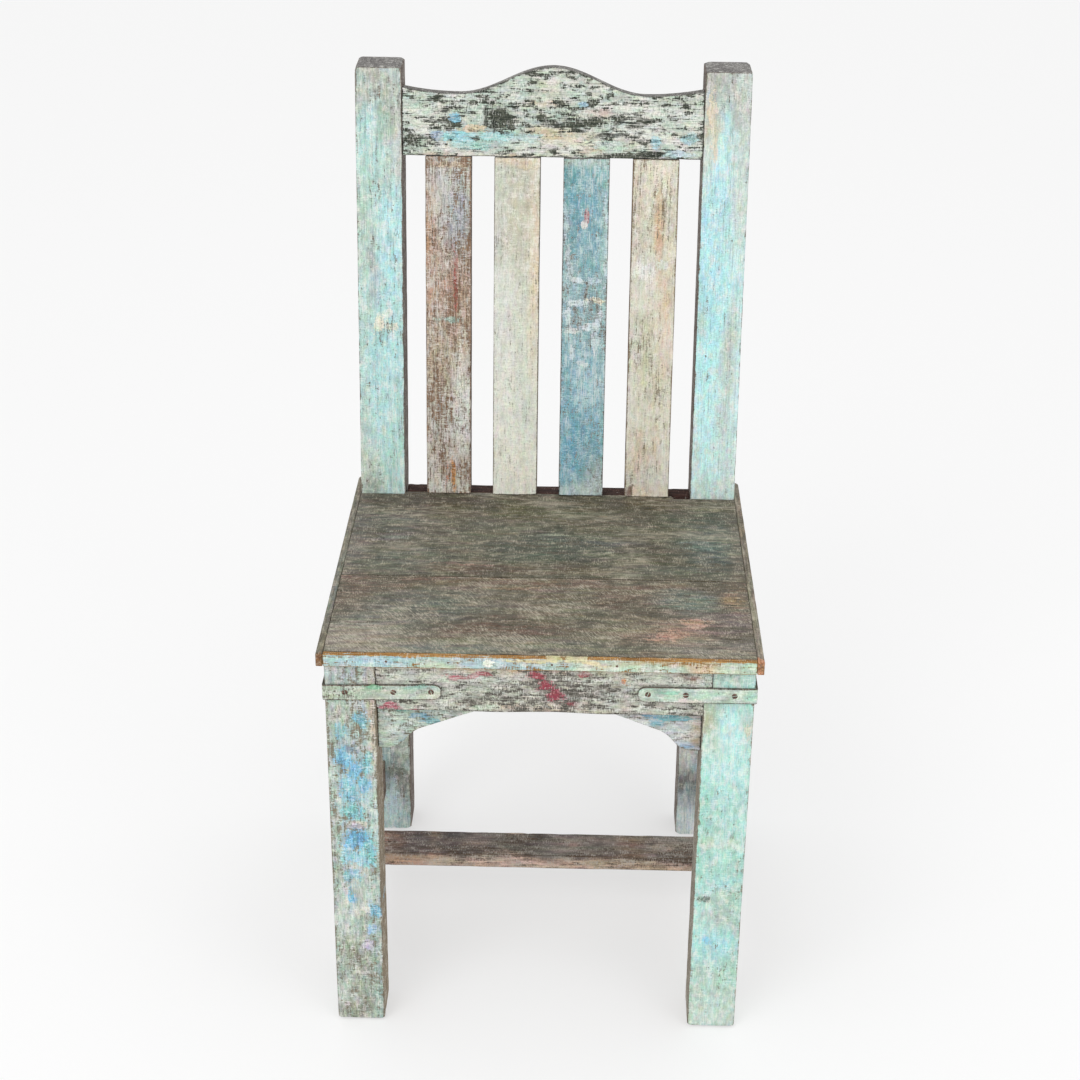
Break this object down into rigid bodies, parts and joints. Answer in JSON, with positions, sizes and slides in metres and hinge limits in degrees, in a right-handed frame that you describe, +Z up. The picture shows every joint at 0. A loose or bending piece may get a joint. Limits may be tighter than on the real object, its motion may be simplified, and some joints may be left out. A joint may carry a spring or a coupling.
{
  "type": "dining chair",
  "caption": "Wooden side chair with square legs, raked posts, slatted back, humped crest rail and peeling mixed-colour paint.",
  "frame": {"origin": "on the floor, under the centre of the chair's bounding box", "axes": "+X to the right as seen from the front, +Y towards the back of the chair, +Z up"},
  "size_m": [0.436, 0.484, 0.921],
  "materials": {
    "aqua_painted_wood": "flaking pale aqua paint over weathered wood",
    "sky_painted_wood": "flaking sky blue paint over sage undercoat and wood",
    "mint_painted_wood": "flaking mint paint over weathered wood",
    "grey_green_painted_wood": "badly flaked grey-green paint with dark checks",
    "brown_painted_wood": "worn brown and grey wood with scraps of white paint",
    "cream_painted_wood": "chalky cream paint",
    "teal_painted_wood": "scratched steel-blue paint over white",
    "beige_painted_wood": "beige paint worn to wood and white undercoat",
    "seat_wood": "dark olive-grey wood with dry-brushed grey paint",
    "edging_painted_wood": "pale blue-green paint worn to ochre wood on the edges",
    "apron_painted_wood": "grey-white paint with charcoal and crimson scraps",
    "raw_dark_wood": "dark reddish brown unpainted wood",
    "raw_brown_wood": "bare brown wood with grey wear",
    "painted_iron": "pale green paint over flat iron",
    "rusty_steel": "rusted screw and nail heads"
  },
  "bodies": {
    "root": {"left_front_leg": "sky_painted_wood", "right_front_leg": "mint_painted_wood", "left_back_post": "aqua_painted_wood", "right_back_post": "aqua_painted_wood", "front_apron": "apron_painted_wood", "left_side_apron": "apron_painted_wood", "right_side_apron": "apron_painted_wood", "rear_seat_rail": "raw_dark_wood", "seat_front_board": "seat_wood", "seat_rear_board": "seat_wood", "front_edging": "edging_painted_wood", "left_edging": "edging_painted_wood", "right_edging": "edging_painted_wood", "crest_rail": "grey_green_painted_wood", "left_outer_slat": "brown_painted_wood", "left_inner_slat": "cream_painted_wood", "right_inner_slat": "teal_painted_wood", "right_outer_slat": "beige_painted_wood", "left_bracket": "grey_green_painted_wood", "right_bracket": "teal_painted_wood", "left_strap": "painted_iron", "right_strap": "painted_iron", "strap_screws": "rusty_steel", "edging_nails": "rusty_steel", "left_side_stretcher": "raw_brown_wood", "right_side_stretcher": "raw_brown_wood", "cross_stretcher": "raw_brown_wood"}
  },
  "joints": []
}
